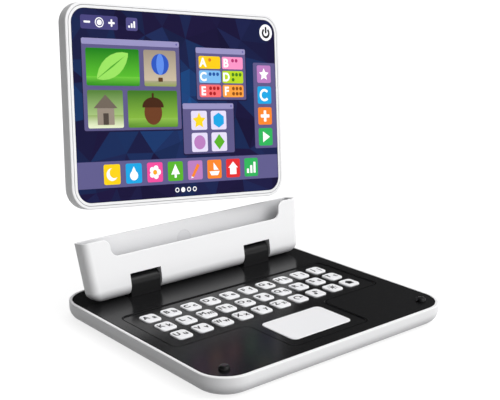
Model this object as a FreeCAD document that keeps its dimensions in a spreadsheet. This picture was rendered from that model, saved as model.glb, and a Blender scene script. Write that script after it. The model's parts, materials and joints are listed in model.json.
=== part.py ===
import FreeCAD, Part
import math
import os
import re
import string

import Sketcher
from FreeCAD import Vector

# A toy laptop: a base with a keyboard and a touchpad, a dock on a friction hinge at its back
# and a tablet that lifts out of the dock. Millimetres; X to the right, Y to the back, Z up.
# The origin is under the middle of the base, where its middle foot stands. The user sits at -Y.

DOC = FreeCAD.newDocument("toy_laptop")
SHEET = DOC.addObject("Spreadsheet::Sheet", "Sizes")

COLUMNS = 10
ROWS = 3
CELLS = 3
SYMBOL_KEYS = ["again", "note", "sun", "home"]

SIZES = (
    ("key_pitch", 17.5, "between key centres along a row"),
    ("row_pitch", 18.4, "between key rows"),
    ("key_width", 12.6, "key cap along the row"),
    ("key_depth", 13.0, "key cap across the row"),
    ("key_corner", 3.0, "key cap corner in plan"),
    ("key_edge", 0.6, "rounding of the key's top edge"),
    ("key_rise", 0.95, "key top above the well floor"),
    ("key_gap", 0.3, "between a cap and its hole"),
    ("key_travel", 1.0, "how far a key goes down"),
    ("travel_gap", 0.1, "left under a pressed key"),
    ("flange_margin", 1.0, "flange beyond the cap"),
    ("flange_thickness", 0.8, "flange that holds a key in"),
    ("touchpad_width", 54.7, "touchpad along X"),
    ("touchpad_depth", 35.0, "touchpad along Y"),
    ("touchpad_corner", 4.4, "touchpad corner in plan"),
    ("touchpad_edge", 0.4, "rounding of the touchpad's top edge"),
    ("touchpad_rise", 0.4, "touchpad top above the well floor"),
    ("well_sink", 0.7, "well floor below the plate top"),
    ("well_floor", 1.6, "thickness of the well floor"),
    ("well_corner", 5.5, "outer corners of the well"),
    ("well_inner_corner", 4.5, "where the touchpad's part meets the keyboard's"),
    ("well_edge", 0.5, "rounding of the well's upper edge"),
    ("well_margin_side", 9.25, "keys to the side of the well"),
    ("well_margin_back", 7.35, "back row to the back of the well"),
    ("well_margin_front", 8.95, "front row to the shoulder of the well"),
    ("touchpad_gap", 4.2, "shoulder of the well to the touchpad"),
    ("pad_margin_side", 7.55, "touchpad to the side of its well"),
    ("pad_margin_front", 8.4, "touchpad to the front of its well"),
    ("side_border", 10.3, "well to the plate's side"),
    ("front_border", 10.9, "well to the plate's front"),
    ("back_deck", 62.9, "well to the plate's back"),
    ("plate_thickness", 1.8, "top plate"),
    ("plate_edge", 0.5, "rounding of the plate's upper edge"),
    ("plate_gap", 0.2, "seam between the plate and the rim"),
    ("base_wall", 2.2, "rim and side wall of the base"),
    ("base_floor", 1.8, "floor of the base"),
    ("base_corner", 23.0, "base corner in plan"),
    ("base_edge_round", 9.0, "lower edge of the base"),
    ("rim_round", 0.7, "upper edge of the base"),
    ("rubber_thickness", 1.0, "rubber key sheet"),
    ("rubber_margin", 2.5, "rubber sheet beyond the keys"),
    ("board_thickness", 1.2, "circuit boards"),
    ("board_margin", 4.0, "base board beyond the keys"),
    ("post_radius", 2.5, "posts under the boards"),
    ("post_inset", 7.0, "posts in from the edge of the keys"),
    ("screw_radius", 1.05, "screw shank"),
    ("screw_length", 8.2, "base and dock screw shank"),
    ("screw_head_radius", 2.3, "screw head"),
    ("screw_head_height", 1.6, "base and dock screw head"),
    ("screw_sink", 0.6, "dock screw head below the face"),
    ("case_screw_sink", 1.4, "base screw head below the underside"),
    ("screw_clear", 0.2, "round a shank or a head where it passes"),
    ("thread_gap", 0.05, "round a shank where it bites"),
    ("drive_width", 0.8, "slot in a screw head"),
    ("drive_depth", 0.5, "depth of that slot"),
    ("boss_radius", 3.1, "screw bosses of the base"),
    ("boss_split", 8.0, "where the bosses meet, above the underside"),
    ("boss_gap", 0.1, "between meeting bosses"),
    ("case_screw_inset", 18.75, "end screws in from the plate's front and back"),
    ("foot_radius", 5.5, "rubber foot"),
    ("foot_stand", 0.8, "foot below the underside"),
    ("foot_recess", 0.7, "foot let into the floor"),
    ("foot_gap", 0.1, "round a foot"),
    ("foot_inset", 25.0, "foot centre in from the base's edges"),
    ("bumper_radius", 3.7, "bumper the closed tablet stops on"),
    ("bumper_round", 2.1, "rounding of the bumper's top"),
    ("bumper_stem_radius", 1.5, "bumper stem"),
    ("bumper_stem_gap", 0.05, "round the stem"),
    ("bumper_inset_side", 13.8, "bumper in from the plate's side"),
    ("bumper_inset_front", 12.8, "bumper in from the plate's front"),
    ("bumper_gap", 0.3, "closed tablet above the bumper"),
    ("hinge_setback", 29.9, "hinge axis in from the base's back"),
    ("lug_offset", 53.3, "hinge lug centre from the middle"),
    ("lug_width", 26.0, "hinge lug along the axis"),
    ("lug_radius", 6.8, "half thickness of a lug"),
    ("lug_edge", 0.5, "rounding of a lug's sides"),
    ("lug_gap", 0.45, "lug to the dock beside it"),
    ("lug_seat", 4.0, "bottom of a lug above the underside"),
    ("lug_seat_margin", 2.0, "seat beyond the lug"),
    ("lug_window_gap", 0.25, "lug to the plate round it"),
    ("pin_radius", 1.5, "hinge pin"),
    ("pin_gap", 0.05, "pin to the dock's bore"),
    ("pin_press", 0.01, "pin to the lug's bore"),
    ("pin_reach", 6.0, "pin into the dock"),
    ("pin_end_gap", 0.4, "beyond the pin's end"),
    ("dock_lean", 10.0, "degrees the dock leans back"),
    ("dock_wall", 1.8, "walls of the dock"),
    ("dock_gap", 0.8, "dock bottom above the plate"),
    ("dock_web", 1.6, "under the slot's floor"),
    ("dock_end_round", 5.0, "dock end in plan"),
    ("dock_splay", 3.2, "rim of the dock beyond its hinge line at each end"),
    ("dock_end_bowl", 11.0, "reach of the dock's round bottom at its ends"),
    ("dock_rim_round", 0.6, "rounding of the dock's upper edges"),
    ("slot_gap", 0.4, "slot wall to the tablet's face"),
    ("slot_side_gap", 2.6, "slot end to the tablet's side, at the rim"),
    ("slot_corner", 2.2, "slot corner in plan"),
    ("slot_depth", 26.8, "depth of the slot"),
    ("notch_clear", 1.1, "notch above the lug"),
    ("front_post_width", 21.7, "tall end of the dock's front wall"),
    ("window_drop", 13.3, "middle of the front wall below its ends"),
    ("window_round", 6.2, "curves between the two heights"),
    ("cavity_boss", 13.0, "solid dock beside a lug"),
    ("cavity_end", 8.5, "solid dock at its ends, from the rim"),
    ("cavity_low", 3.0, "hollow below the hinge axis"),
    ("dock_screw_rise", 3.6, "dock screws above the hinge axis"),
    ("dock_pilot", 3.2, "dock screw into the front half"),
    ("disc_radius", 6.2, "round sensor window in the slot"),
    ("disc_thickness", 1.0, "sensor window"),
    ("disc_gap", 0.1, "round the sensor window"),
    ("disc_aside", 5.8, "sensor window to the left of the middle"),
    ("disc_drop", 14.3, "sensor window below the rim"),
    ("tablet_width", 194.6, "tablet along X"),
    ("tablet_height", 146.4, "tablet along the slot"),
    ("tablet_corner", 15.5, "tablet corner"),
    ("tablet_edge_round", 3.5, "edge of the tablet's back"),
    ("tablet_front_round", 0.7, "edge of the tablet's front"),
    ("tablet_back", 1.6, "back wall of the tablet"),
    ("tablet_rim", 2.2, "side wall of the tablet"),
    ("bezel_width", 4.6, "white frame round the screen"),
    ("bezel_thickness", 2.2, "front bezel"),
    ("bezel_seam", 0.35, "bezel to the side wall"),
    ("screen_sink", 0.3, "screen face below the bezel"),
    ("screen_gap", 0.1, "round the screen"),
    ("screen_ledge", 1.5, "ledge behind the screen"),
    ("overlay_thickness", 0.8, "printed screen"),
    ("touch_thickness", 0.8, "touch sensor behind the screen"),
    ("bay_gap", 0.3, "battery bay to the touch sensor"),
    ("hump_height", 2.6, "battery hump on the tablet's back"),
    ("hump_round", 1.2, "edge of the hump"),
    ("bay_drop", 12.0, "battery bay below the tablet's middle"),
    ("seat_gap", 0.3, "seated tablet above the slot's floor"),
    ("tablet_lift", 40.5, "tablet shown lifted by"),
    ("tablet_aside", -0.5, "lifted tablet shown to the right by"),
    ("tablet_roll", 5.9, "degrees the lifted tablet tips to the right"),
    ("tablet_boss_inset", 8.2, "tablet screws in from its edges"),
    ("tablet_boss_radius", 2.7, "screw bosses of the tablet"),
    ("tablet_boss_height", 3.4, "back boss above the back wall"),
    ("tablet_screw_length", 5.8, "tablet screw shank"),
    ("low_head_height", 1.1, "head of the tablet's screws"),
    ("low_head_sink", 0.1, "that head below the face"),
    ("tablet_board_width", 52.0, "tablet board along X"),
    ("tablet_board_height", 70.0, "tablet board along the slot"),
    ("tablet_board_inset", 10.3, "tablet board in from the tablet's right side"),
    ("tablet_board_drop", 14.0, "tablet board below the middle"),
    ("tablet_board_rise", 2.6, "tablet board above the back wall"),
    ("speaker_radius", 14.0, "speaker frame"),
    ("speaker_frame", 2.4, "height of the frame"),
    ("speaker_magnet_radius", 8.0, "speaker magnet"),
    ("speaker_magnet", 2.6, "height of the magnet"),
    ("speaker_inset", 37.3, "speaker in from the tablet's left side"),
    ("speaker_rise", 8.0, "speaker above the middle"),
    ("grille_pitch", 4.0, "between grille slots"),
    ("grille_width", 1.6, "grille slot"),
    ("grille_length", 16.0, "length of a grille slot"),
    ("grille_round", 0.7, "end of a grille slot"),
    ("cell_diameter", 10.5, "battery cell"),
    ("cell_length", 44.5, "battery cell with its button"),
    ("cell_button", 0.8, "button of a cell"),
    ("cell_button_radius", 1.9, "button of a cell"),
    ("cell_gap", 0.1, "cell to the door and to the bay's top"),
    ("cell_side_gap", 0.3, "between cells"),
    ("contact_thickness", 0.5, "contact plates"),
    ("contact_gap", 0.05, "contact plate to the bay's end"),
    ("door_thickness", 1.7, "battery doors"),
    ("door_gap", 0.2, "round a door"),
    ("door_ledge", 2.0, "ledge a door rests on"),
    ("door_screw_ledge", 7.0, "ledge that takes the door's screw"),
    ("door_corner", 2.0, "door corners"),
    ("door_head_height", 0.8, "head of a door screw"),
    ("door_screw_length", 6.0, "shank of a door screw"),
    ("grip_width", 1.4, "grip grooves of a door"),
    ("grip_length", 16.0, "length of a grip groove"),
    ("grip_depth", 0.5, "depth of a grip groove"),
    ("grip_pitch", 3.2, "between grip grooves"),
    ("bay_wall", 1.5, "wall round a door"),
    ("bay_top_gap", 0.15, "bay wall to what lies over it"),
)

# Sizes that follow from the ones above.
DERIVED = {
    "keyboard_width": f"{COLUMNS - 1} * key_pitch + key_width",
    "keyboard_depth": f"{ROWS - 1} * row_pitch + key_depth",
    "well_width": "keyboard_width + 2 * well_margin_side",
    "well_length": "well_margin_front + keyboard_depth + well_margin_back",
    "tab_width": "touchpad_width + 2 * pad_margin_side",
    "tab_length": "pad_margin_front + touchpad_depth + touchpad_gap",
    "plate_width": "well_width + 2 * side_border",
    "plate_depth": "front_border + tab_length + well_length + back_deck",
    "plate_corner": "base_corner - base_wall - plate_gap",
    "base_width": "plate_width + 2 * plate_gap + 2 * base_wall",
    "base_depth": "plate_depth + 2 * plate_gap + 2 * base_wall",
    "tab_front": "front_border - plate_depth / 2",
    "touchpad_y": "tab_front + pad_margin_front + touchpad_depth / 2",
    "well_front": "tab_front + tab_length",
    "keyboard_y": "well_front + well_margin_front + keyboard_depth / 2",
    "well_back": "well_front + well_length",
    "bay_height": "door_thickness + 2 * cell_gap + cell_diameter",
    "base_height": "bay_height + plate_thickness",
    "well_top": "base_height - well_sink",
    "flange_top": "well_top - well_floor",
    "flange_low": "flange_top - flange_thickness",
    "rubber_low": "flange_low - key_travel - travel_gap - rubber_thickness",
    "board_low": "rubber_low - board_thickness",
    "case_screw_x": "well_width / 2 + side_border / 2",
    "case_screw_y": "plate_depth / 2 - case_screw_inset",
    "screw_top": "case_screw_sink + screw_head_height + screw_length",
    "foot_x": "base_width / 2 - foot_inset",
    "foot_y": "base_depth / 2 - foot_inset",
    "bumper_x": "plate_width / 2 - bumper_inset_side",
    "bumper_y": "bumper_inset_front - plate_depth / 2",
    "bumper_height": "axis_z - base_height - tablet_thickness / 2 - bumper_gap",
    "post_x": "keyboard_width / 2 - post_inset",
    "post_y": "keyboard_depth / 2 - post_inset",
    "tablet_stack": "screen_sink + overlay_thickness + touch_thickness",
    "tablet_thickness": "tablet_stack + bay_gap + bay_height - hump_height",
    "tablet_inside": "tablet_back - tablet_thickness / 2",
    "tablet_split": "tablet_inside + tablet_boss_height",
    "bezel_low": "tablet_thickness / 2 - bezel_thickness",
    "screen_width": "tablet_width - 2 * bezel_width",
    "screen_height": "tablet_height - 2 * bezel_width",
    "screen_corner": "tablet_corner - bezel_width",
    "overlay_low": "tablet_thickness / 2 - screen_sink - overlay_thickness",
    "boss_x": "tablet_width / 2 - tablet_boss_inset",
    "boss_y": "tablet_height / 2 - tablet_boss_inset",
    "tablet_board_aside": "tablet_width / 2 - tablet_board_inset - tablet_board_width / 2",
    "speaker_aside": "tablet_width / 2 - speaker_inset",
    "slot_width": "tablet_width + 2 * slot_side_gap",
    "slot_low_width": "slot_width - 2 * dock_splay * slot_depth / dock_rim",
    "slot_thickness": "tablet_thickness + 2 * slot_gap",
    "dock_width": "slot_width + 2 * dock_wall",
    "dock_low_width": "dock_width - 2 * dock_splay",
    "dock_thickness": "slot_thickness + 2 * dock_wall",
    "axis_y": "base_depth / 2 - hinge_setback",
    "axis_z": "base_height + dock_gap + dock_thickness / 2",
    "notch_top": "lug_radius + notch_clear",
    "slot_floor": "notch_top + dock_web",
    "dock_rim": "slot_floor + slot_depth",
    "notch_half": "lug_width / 2 + lug_gap",
    "pin_half": "notch_half + pin_reach",
    "dock_screw_shift": "notch_half + (cavity_boss + pin_reach) / 2",
    "bay_length": "cell_length + 2 * contact_thickness + 2 * contact_gap",
    "bay_width": f"{CELLS} * cell_diameter + {CELLS + 1} * cell_side_gap",
    "door_length": "bay_length + 2 * door_ledge",
    "door_width": "bay_width + door_ledge + door_screw_ledge",
    "door_shift": "(door_ledge - door_screw_ledge) / 2",
    "door_screw_y": "-(bay_width + door_screw_ledge) / 2",
    "recess_length": "door_length + 2 * door_gap",
    "recess_width": "door_width + 2 * door_gap",
    "cell_rise": "door_thickness + cell_gap + cell_diameter / 2",
}

for row, (alias, size, meaning) in enumerate(SIZES, 1):
    SHEET.set(f"A{row}", meaning)
    SHEET.set(f"B{row}", str(size))
    SHEET.setAlias(f"B{row}", alias)
DOC.recompute()
ALIASES = {alias for alias, size, meaning in SIZES}
TINY = 1e-5


def formula(text):
    """A size written with the names above, as the sheet's own expression."""
    def name(found):
        word = found[0]
        if word in DERIVED:
            return "(" + formula(DERIVED[word]) + ")"
        return "Sizes." + word if word in ALIASES else word
    return re.sub(r"[a-z][a-z_]*", name, text)


def value(text):
    return float(SHEET.evalExpression(formula(text)))


def frame(x, y, z, axis="0; 0; 1", turn="0"):
    return f"placement(vector({x}; {y}; {z}); rotation(vector({axis}); {turn}))"


# Heights of the base count from its flat underside, which the feet hold off the ground.
BASE_FRAME = frame("0", "0", "foot_stand")
DOCK_FRAME = frame("0", "axis_y", "axis_z", "1; 0; 0", "-dock_lean")
RAISED = frame("tablet_aside", "0", "slot_floor + seat_gap + tablet_height / 2 + tablet_lift",
               "0; 1; 0", "tablet_roll")
TABLET_FRAME = " * ".join([DOCK_FRAME, RAISED, frame("0", "0", "0", "1; 0; 0", "90")])

BODIES = []


def new_body(label, place=None):
    body = DOC.addObject("PartDesign::Body", label)
    body.Label = label
    frames = [BASE_FRAME, place] if place else [BASE_FRAME]
    body.setExpression("Placement", formula(" * ".join(frames)))
    BODIES.append(body)
    return body


def sketch_on(body, name, height="0", role="XY_Plane"):
    sketch = body.newObject("Sketcher::SketchObject", f"{body.Name}_{name}")
    plane = next(f for f in body.Origin.OriginFeatures if f.Role == role)
    sketch.AttachmentSupport = [(plane, "")]
    sketch.MapMode = "FlatFace"
    sketch.setExpression("AttachmentOffset.Base.z", formula(height))
    return sketch


def sized(kind, places, text):
    """A dimension that follows a size; a place on an axis needs no dimension."""
    if text == "0" and kind != "Radius":
        axis = -2 if kind == "DistanceX" else -1
        return Sketcher.Constraint("PointOnObject", *places[2:], axis), None
    return Sketcher.Constraint(kind, *places, value(text)), formula(text)


def constrain(sketch, rules):
    """Adds (constraint, expression) pairs in one go, so that nothing moves on the way."""
    first = len(sketch.Constraints)
    sketch.addConstraint([constraint for constraint, text in rules])
    for index, (constraint, text) in enumerate(rules, first):
        if text:
            sketch.setExpression(f"Constraints[{index}]", text)


def outline(sketch, corners):
    """A closed outline of level and upright lines; each corner is (x, y, radius)."""
    spots = [[value(text) for text in corner] for corner in corners]
    count = len(spots)
    turns = []
    for i, (x, y, radius) in enumerate(spots):
        corner = Vector(x, y, 0)
        before = (Vector(*spots[i - 1][:2], 0) - corner).normalize() * radius
        after = (Vector(*spots[(i + 1) % count][:2], 0) - corner).normalize() * radius
        turns.append((corner + before, corner + after, corner + before + after))
    lines = [sketch.addGeometry(Part.LineSegment(turns[i][1], turns[(i + 1) % count][0]), False)
             for i in range(count)]
    arcs = {}
    for i, (x, y, radius) in enumerate(spots):
        if radius > 0:
            start, end, centre = turns[i]
            to_start, to_end = start - centre, end - centre
            left_turn = to_start.cross(to_end).z > 0
            first, last = (to_start, to_end) if left_turn else (to_end, to_start)
            angle = math.atan2(first.y, first.x)
            ring = Part.Circle(centre, Vector(0, 0, 1), radius)
            arc = Part.ArcOfCircle(ring, angle, angle + math.pi / 2)
            ends = (1, 2) if left_turn else (2, 1)
            arcs[i] = (sketch.addGeometry(arc, False), *ends)
    rules = []
    for i, line in enumerate(lines):
        j = (i + 1) % count
        level = abs(spots[i][1] - spots[j][1]) < TINY
        rules.append((Sketcher.Constraint("Horizontal" if level else "Vertical", line), None))
        rules.append(sized("DistanceY" if level else "DistanceX", (-1, 1, line, 1),
                           corners[i][1] if level else corners[i][0]))
        if j not in arcs:
            rules.append((Sketcher.Constraint("Coincident", line, 2, lines[j], 1), None))
            continue
        arc, first, last = arcs[j]
        rules.append((Sketcher.Constraint("Tangent", line, 2, arc, first), None))
        rules.append((Sketcher.Constraint("Tangent", arc, last, lines[j], 1), None))
        rules.append(sized("Radius", (arc,), corners[j][2]))
    constrain(sketch, rules)


def rectangle(sketch, x, y, width, depth, corner="0"):
    left, right = f"{x} - ({width}) / 2", f"{x} + ({width}) / 2"
    low, high = f"{y} - ({depth}) / 2", f"{y} + ({depth}) / 2"
    outline(sketch, [(left, low, corner), (right, low, corner),
                     (right, high, corner), (left, high, corner)])


def circles(sketch, spots, radius):
    for x, y in spots:
        round_line = Part.Circle(Vector(value(x), value(y), 0), Vector(0, 0, 1), value(radius))
        index = sketch.addGeometry(round_line, False)
        constrain(sketch, [sized("Radius", (index,), radius),
                           sized("DistanceX", (-1, 1, index, 3), x),
                           sized("DistanceY", (-1, 1, index, 3), y)])


def tee(sketch, half, back, shoulder, tab_half, front, corner, inner):
    """A keyboard's wide part with the touchpad's narrow part before it."""
    outline(sketch, [(f"-({half})", back, corner), (f"-({half})", shoulder, corner),
                     (f"-({tab_half})", shoulder, inner), (f"-({tab_half})", front, corner),
                     (tab_half, front, corner), (tab_half, shoulder, inner),
                     (half, shoulder, corner), (half, back, corner)])


def pad(body, sketch, length, reverse=False):
    feature = body.newObject("PartDesign::Pad", sketch.Name + "_pad")
    feature.Profile = sketch
    feature.Reversed = reverse
    feature.setExpression("Length", formula(length))
    DOC.recompute()


def cut(body, sketch, length, reverse=False):
    before = body.Shape.Volume
    feature = body.newObject("PartDesign::Pocket", sketch.Name + "_cut")
    feature.Profile = sketch
    feature.Reversed = reverse
    feature.setExpression("Length", formula(length))
    DOC.recompute()
    if body.Shape.Volume > before - TINY:
        raise RuntimeError(sketch.Name + " takes nothing away")
    return feature


def loft(body, name, kind, rings, ruled=False):
    feature = body.newObject(f"PartDesign::{kind}Loft", f"{body.Name}_{name}")
    feature.Profile = rings[0]
    feature.Sections = rings[1:]
    feature.Ruled = ruled
    DOC.recompute()


def soften(body, radius, wanted):
    """Rounds the edges whose bounding box passes the test."""
    tip = body.Tip
    names = [f"Edge{i}" for i, edge in enumerate(tip.Shape.Edges, 1) if wanted(edge.BoundBox)]
    feature = body.newObject("PartDesign::Fillet", tip.Name + "_round")
    feature.Base = (tip, names)
    feature.setExpression("Radius", formula(radius))
    DOC.recompute()


def at_height(text):
    height = value(text)
    return lambda box: abs(box.ZMin - height) < TINY and abs(box.ZMax - height) < TINY


def cylinders(body, name, spots, radius, height, length, role="XY_Plane", reverse=False):
    sketch = sketch_on(body, name, height, role)
    circles(sketch, spots, radius)
    pad(body, sketch, length, reverse)


def holes(body, name, spots, radius, height, length, role="XY_Plane", reverse=False):
    sketch = sketch_on(body, name, height, role)
    circles(sketch, spots, radius)
    cut(body, sketch, length, reverse)


def block(body, name, x, y, width, depth, height, length, corner="0", reverse=False):
    sketch = sketch_on(body, name, height)
    rectangle(sketch, x, y, width, depth, corner)
    pad(body, sketch, length, reverse)


def pocket(body, name, x, y, width, depth, height, length, corner="0", reverse=False):
    sketch = sketch_on(body, name, height)
    rectangle(sketch, x, y, width, depth, corner)
    cut(body, sketch, length, reverse)


def mirrored(x, *heights):
    return [(sign + x, y) for y in heights for sign in ("-", "")]


def screws(body, spots, sink, head, length):
    """Screws that point up, their heads at the bottom with a slot across them."""
    cylinders(body, "heads", spots, "screw_head_radius", sink, head)
    slots = sketch_on(body, "slots", sink)
    for x, y in spots:
        rectangle(slots, x, y, "screw_head_radius + screw_radius", "drive_width")
    cut(body, slots, "drive_depth", reverse=True)
    cylinders(body, "shanks", spots, "screw_radius", f"{sink} + {head}", length)


CASE_SPOTS = mirrored("case_screw_x", "-(case_screw_y)", "0", "case_screw_y")
LUG_SPOTS = mirrored("lug_offset", "axis_y")
FOOT_SPOTS = mirrored("foot_x", "-(foot_y)", "foot_y") + [("0", "0")]
BUMPER_SPOTS = mirrored("bumper_x", "bumper_y")
BASE_POSTS = (mirrored("post_x", "keyboard_y - post_y", "keyboard_y + post_y")
              + mirrored("(touchpad_width / 2 - post_inset)", "touchpad_y"))
TABLET_SPOTS = mirrored("boss_x", "-(boss_y)", "boss_y")


# The battery bay is the same in the base and in the tablet. Its own frame has the door's outer
# face at zero and looks inward.

def battery_bay(body, y, outer, edge=None):
    middle = f"{y} + door_shift"
    block(body, "bay", "0", middle, "recess_length + 2 * bay_wall", "recess_width + 2 * bay_wall",
          outer, "bay_height - bay_top_gap", "door_corner + door_gap + bay_wall")
    if edge:
        soften(body, edge, at_height(outer))
    pocket(body, "door_recess", "0", middle, "recess_length", "recess_width",
           outer, "door_thickness", "door_corner + door_gap", reverse=True)
    pocket(body, "bay_room", "0", y, "bay_length", "bay_width", outer, "bay_height", reverse=True)
    holes(body, "door_pilot", [("0", f"{y} + door_screw_y")], "screw_radius + thread_gap",
          outer, "low_head_sink + door_head_height + door_screw_length + boss_gap", reverse=True)


def battery_set(prefix, place):
    cells = new_body(prefix + "_battery_cells", place)
    spots = [(f"{i - CELLS // 2} * (cell_diameter + cell_side_gap)", "cell_rise")
             for i in range(CELLS)]
    cylinders(cells, "cans", spots, "cell_diameter / 2", "-cell_length / 2",
              "cell_length - cell_button", "YZ_Plane")
    cylinders(cells, "buttons", spots, "cell_button_radius", "cell_length / 2 - cell_button",
              "cell_button", "YZ_Plane")

    contacts = new_body(prefix + "_battery_contacts", place)
    plates = sketch_on(contacts, "plates", "door_thickness + cell_gap")
    for sign in ("-", ""):
        rectangle(plates, sign + "(cell_length + contact_thickness) / 2", "0",
                  "contact_thickness", "bay_width - 2 * cell_side_gap")
    pad(contacts, plates, "cell_diameter")

    door = new_body(prefix + "_battery_door", place)
    block(door, "panel", "0", "door_shift", "door_length", "door_width", "0", "door_thickness",
          "door_corner")
    grips = sketch_on(door, "grips")
    for i in range(CELLS):
        rectangle(grips, "0", f"bay_width / 4 + {i} * grip_pitch", "grip_length", "grip_width")
    cut(door, grips, "grip_depth", reverse=True)
    spot = [("0", "door_screw_y")]
    holes(door, "head_room", spot, "screw_head_radius + screw_clear", "0",
          "low_head_sink + door_head_height", reverse=True)
    holes(door, "shank_room", spot, "screw_radius + screw_clear", "0", "door_thickness",
          reverse=True)

    screws(new_body(prefix + "_battery_door_screw", place), spot, "low_head_sink",
           "door_head_height", "door_screw_length")


# Base: a tray closed by the top plate.

tray = new_body("base_bottom_shell")
block(tray, "outside", "0", "0", "base_width", "base_depth", "0", "base_height", "base_corner")
soften(tray, "rim_round", at_height("base_height"))
pocket(tray, "inside", "0", "0", "base_width - 2 * base_wall", "base_depth - 2 * base_wall",
       "base_height", "base_height - base_floor", "base_corner - base_wall")
soften(tray, "base_edge_round - base_floor", at_height("base_floor"))
soften(tray, "base_edge_round", at_height("0"))
cylinders(tray, "bosses", CASE_SPOTS, "boss_radius", "base_floor", "boss_split - base_floor")
cylinders(tray, "posts", BASE_POSTS, "post_radius", "base_floor", "board_low - base_floor")
seats = sketch_on(tray, "seats", "base_floor")
for x, y in LUG_SPOTS:
    rectangle(seats, x, y, "lug_width + 2 * lug_seat_margin",
              "2 * lug_radius + 2 * lug_seat_margin")
pad(tray, seats, "lug_seat - base_floor")
battery_bay(tray, "axis_y", "0")
holes(tray, "head_rooms", CASE_SPOTS + LUG_SPOTS, "screw_head_radius + screw_clear", "0",
      "case_screw_sink + screw_head_height", reverse=True)
holes(tray, "shank_rooms", CASE_SPOTS + LUG_SPOTS, "screw_radius + screw_clear", "0",
      "boss_split", reverse=True)
holes(tray, "foot_rooms", FOOT_SPOTS, "foot_radius + foot_gap", "0", "foot_recess", reverse=True)

plate = new_body("base_top_plate")
block(plate, "sheet", "0", "0", "plate_width", "plate_depth", "bay_height", "plate_thickness",
      "plate_corner")
soften(plate, "plate_edge", at_height("base_height"))
under = sketch_on(plate, "well_under", "flange_top")
tee(under, "well_width / 2 + well_floor", "well_back + well_floor", "well_front - well_floor",
    "tab_width / 2 + well_floor", "tab_front - well_floor", "well_corner + well_floor",
    "well_inner_corner - well_floor")
pad(plate, under, "bay_height - flange_top")
well = sketch_on(plate, "well", "base_height")
tee(well, "well_width / 2", "well_back", "well_front", "tab_width / 2", "tab_front",
    "well_corner", "well_inner_corner")
cut(plate, well, "well_sink")
brim = value("well_width / 2") + TINY
top_edge = at_height("base_height")
soften(plate, "well_edge", lambda box: top_edge(box) and max(-box.XMin, box.XMax) < brim
       and box.YMax < value("well_back") + TINY and box.YMin > value("tab_front") - TINY)
pocket(plate, "touchpad_hole", "0", "touchpad_y", "touchpad_width + 2 * key_gap",
       "touchpad_depth + 2 * key_gap", "well_top", "well_floor", "touchpad_corner + key_gap")
windows = sketch_on(plate, "lug_windows", "base_height")
for x, y in LUG_SPOTS:
    rectangle(windows, x, y, "lug_width + 2 * lug_window_gap", "2 * lug_radius + 2 * lug_window_gap")
cut(plate, windows, "plate_thickness")
cylinders(plate, "bosses", CASE_SPOTS, "boss_radius", "bay_height",
          "bay_height - boss_split - boss_gap", reverse=True)
holes(plate, "pilots", CASE_SPOTS, "screw_radius + thread_gap", "boss_split",
      "screw_top - boss_split + boss_gap", reverse=True)
holes(plate, "bumper_holes", BUMPER_SPOTS, "bumper_stem_radius + bumper_stem_gap", "base_height",
      "plate_thickness")
first_hole = sketch_on(plate, "key_hole", "well_top")
rectangle(first_hole, "(key_width - keyboard_width) / 2", "keyboard_y - row_pitch",
          "key_width + 2 * key_gap", "key_depth + 2 * key_gap", "key_corner + key_gap")
hole = cut(plate, first_hole, "well_floor")
grid = plate.newObject("PartDesign::LinearPattern", "key_holes")
grid.Originals = [hole]
grid.Direction = (first_hole, ["H_Axis"])
grid.setExpression("Length", formula(f"{COLUMNS - 1} * key_pitch"))
grid.Occurrences = COLUMNS
grid.Direction2 = (first_hole, ["V_Axis"])
grid.setExpression("Length2", formula(f"{ROWS - 1} * row_pitch"))
grid.Occurrences2 = ROWS
plate.Tip = grid

for label, margin, low, thickness in (
        ("keypad_rubber_sheet", "rubber_margin", "rubber_low", "rubber_thickness"),
        ("base_circuit_board", "board_margin", "board_low", "board_thickness")):
    sheet = new_body(label)
    shape = sketch_on(sheet, "outline", low)
    tee(shape, f"keyboard_width / 2 + {margin}", f"keyboard_y + keyboard_depth / 2 + {margin}",
        f"keyboard_y - keyboard_depth / 2 - {margin}", f"touchpad_width / 2 + {margin}",
        f"touchpad_y - touchpad_depth / 2 - {margin}", "key_corner", "key_corner")
    pad(sheet, shape, thickness)

battery_set("base", frame("0", "axis_y", "0"))
screws(new_body("base_case_screws"), CASE_SPOTS + LUG_SPOTS, "case_screw_sink",
       "screw_head_height", "screw_length")
cylinders(new_body("rubber_feet"), "pads", FOOT_SPOTS, "foot_radius", "-foot_stand",
          "foot_stand + foot_recess")

bumpers = new_body("bumpers")
cylinders(bumpers, "buttons", BUMPER_SPOTS, "bumper_radius", "base_height", "bumper_height")
soften(bumpers, "bumper_round", at_height("base_height + bumper_height"))
cylinders(bumpers, "stems", BUMPER_SPOTS, "bumper_stem_radius", "base_height", "plate_thickness",
          reverse=True)


# Keys and touchpad: a cap on a flange that the plate holds from above.

def button(label, x, y, width, depth, corner, rise, edge):
    body = new_body(label, frame(x, y, "flange_low"))
    block(body, "flange", "0", "0", f"{width} + 2 * flange_margin", f"{depth} + 2 * flange_margin",
          "0", "flange_thickness", corner)
    block(body, "cap", "0", "0", width, depth, "flange_thickness", f"well_floor + {rise}", corner)
    soften(body, edge, at_height(f"flange_thickness + well_floor + {rise}"))


button("touchpad_button", "0", "touchpad_y", "touchpad_width", "touchpad_depth",
       "touchpad_corner", "touchpad_rise", "touchpad_edge")
for place, mark in enumerate(list(string.ascii_lowercase) + SYMBOL_KEYS):
    line, column = divmod(place, COLUMNS)
    button(f"key_{mark}", f"{column} * key_pitch - (keyboard_width - key_width) / 2",
           f"keyboard_y + {ROWS // 2 - line} * row_pitch", "key_width", "key_depth",
           "key_corner", "key_rise", "key_edge")


# Hinge: two lugs that stand on the tray and come up through the plate, with a pin through each.

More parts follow.
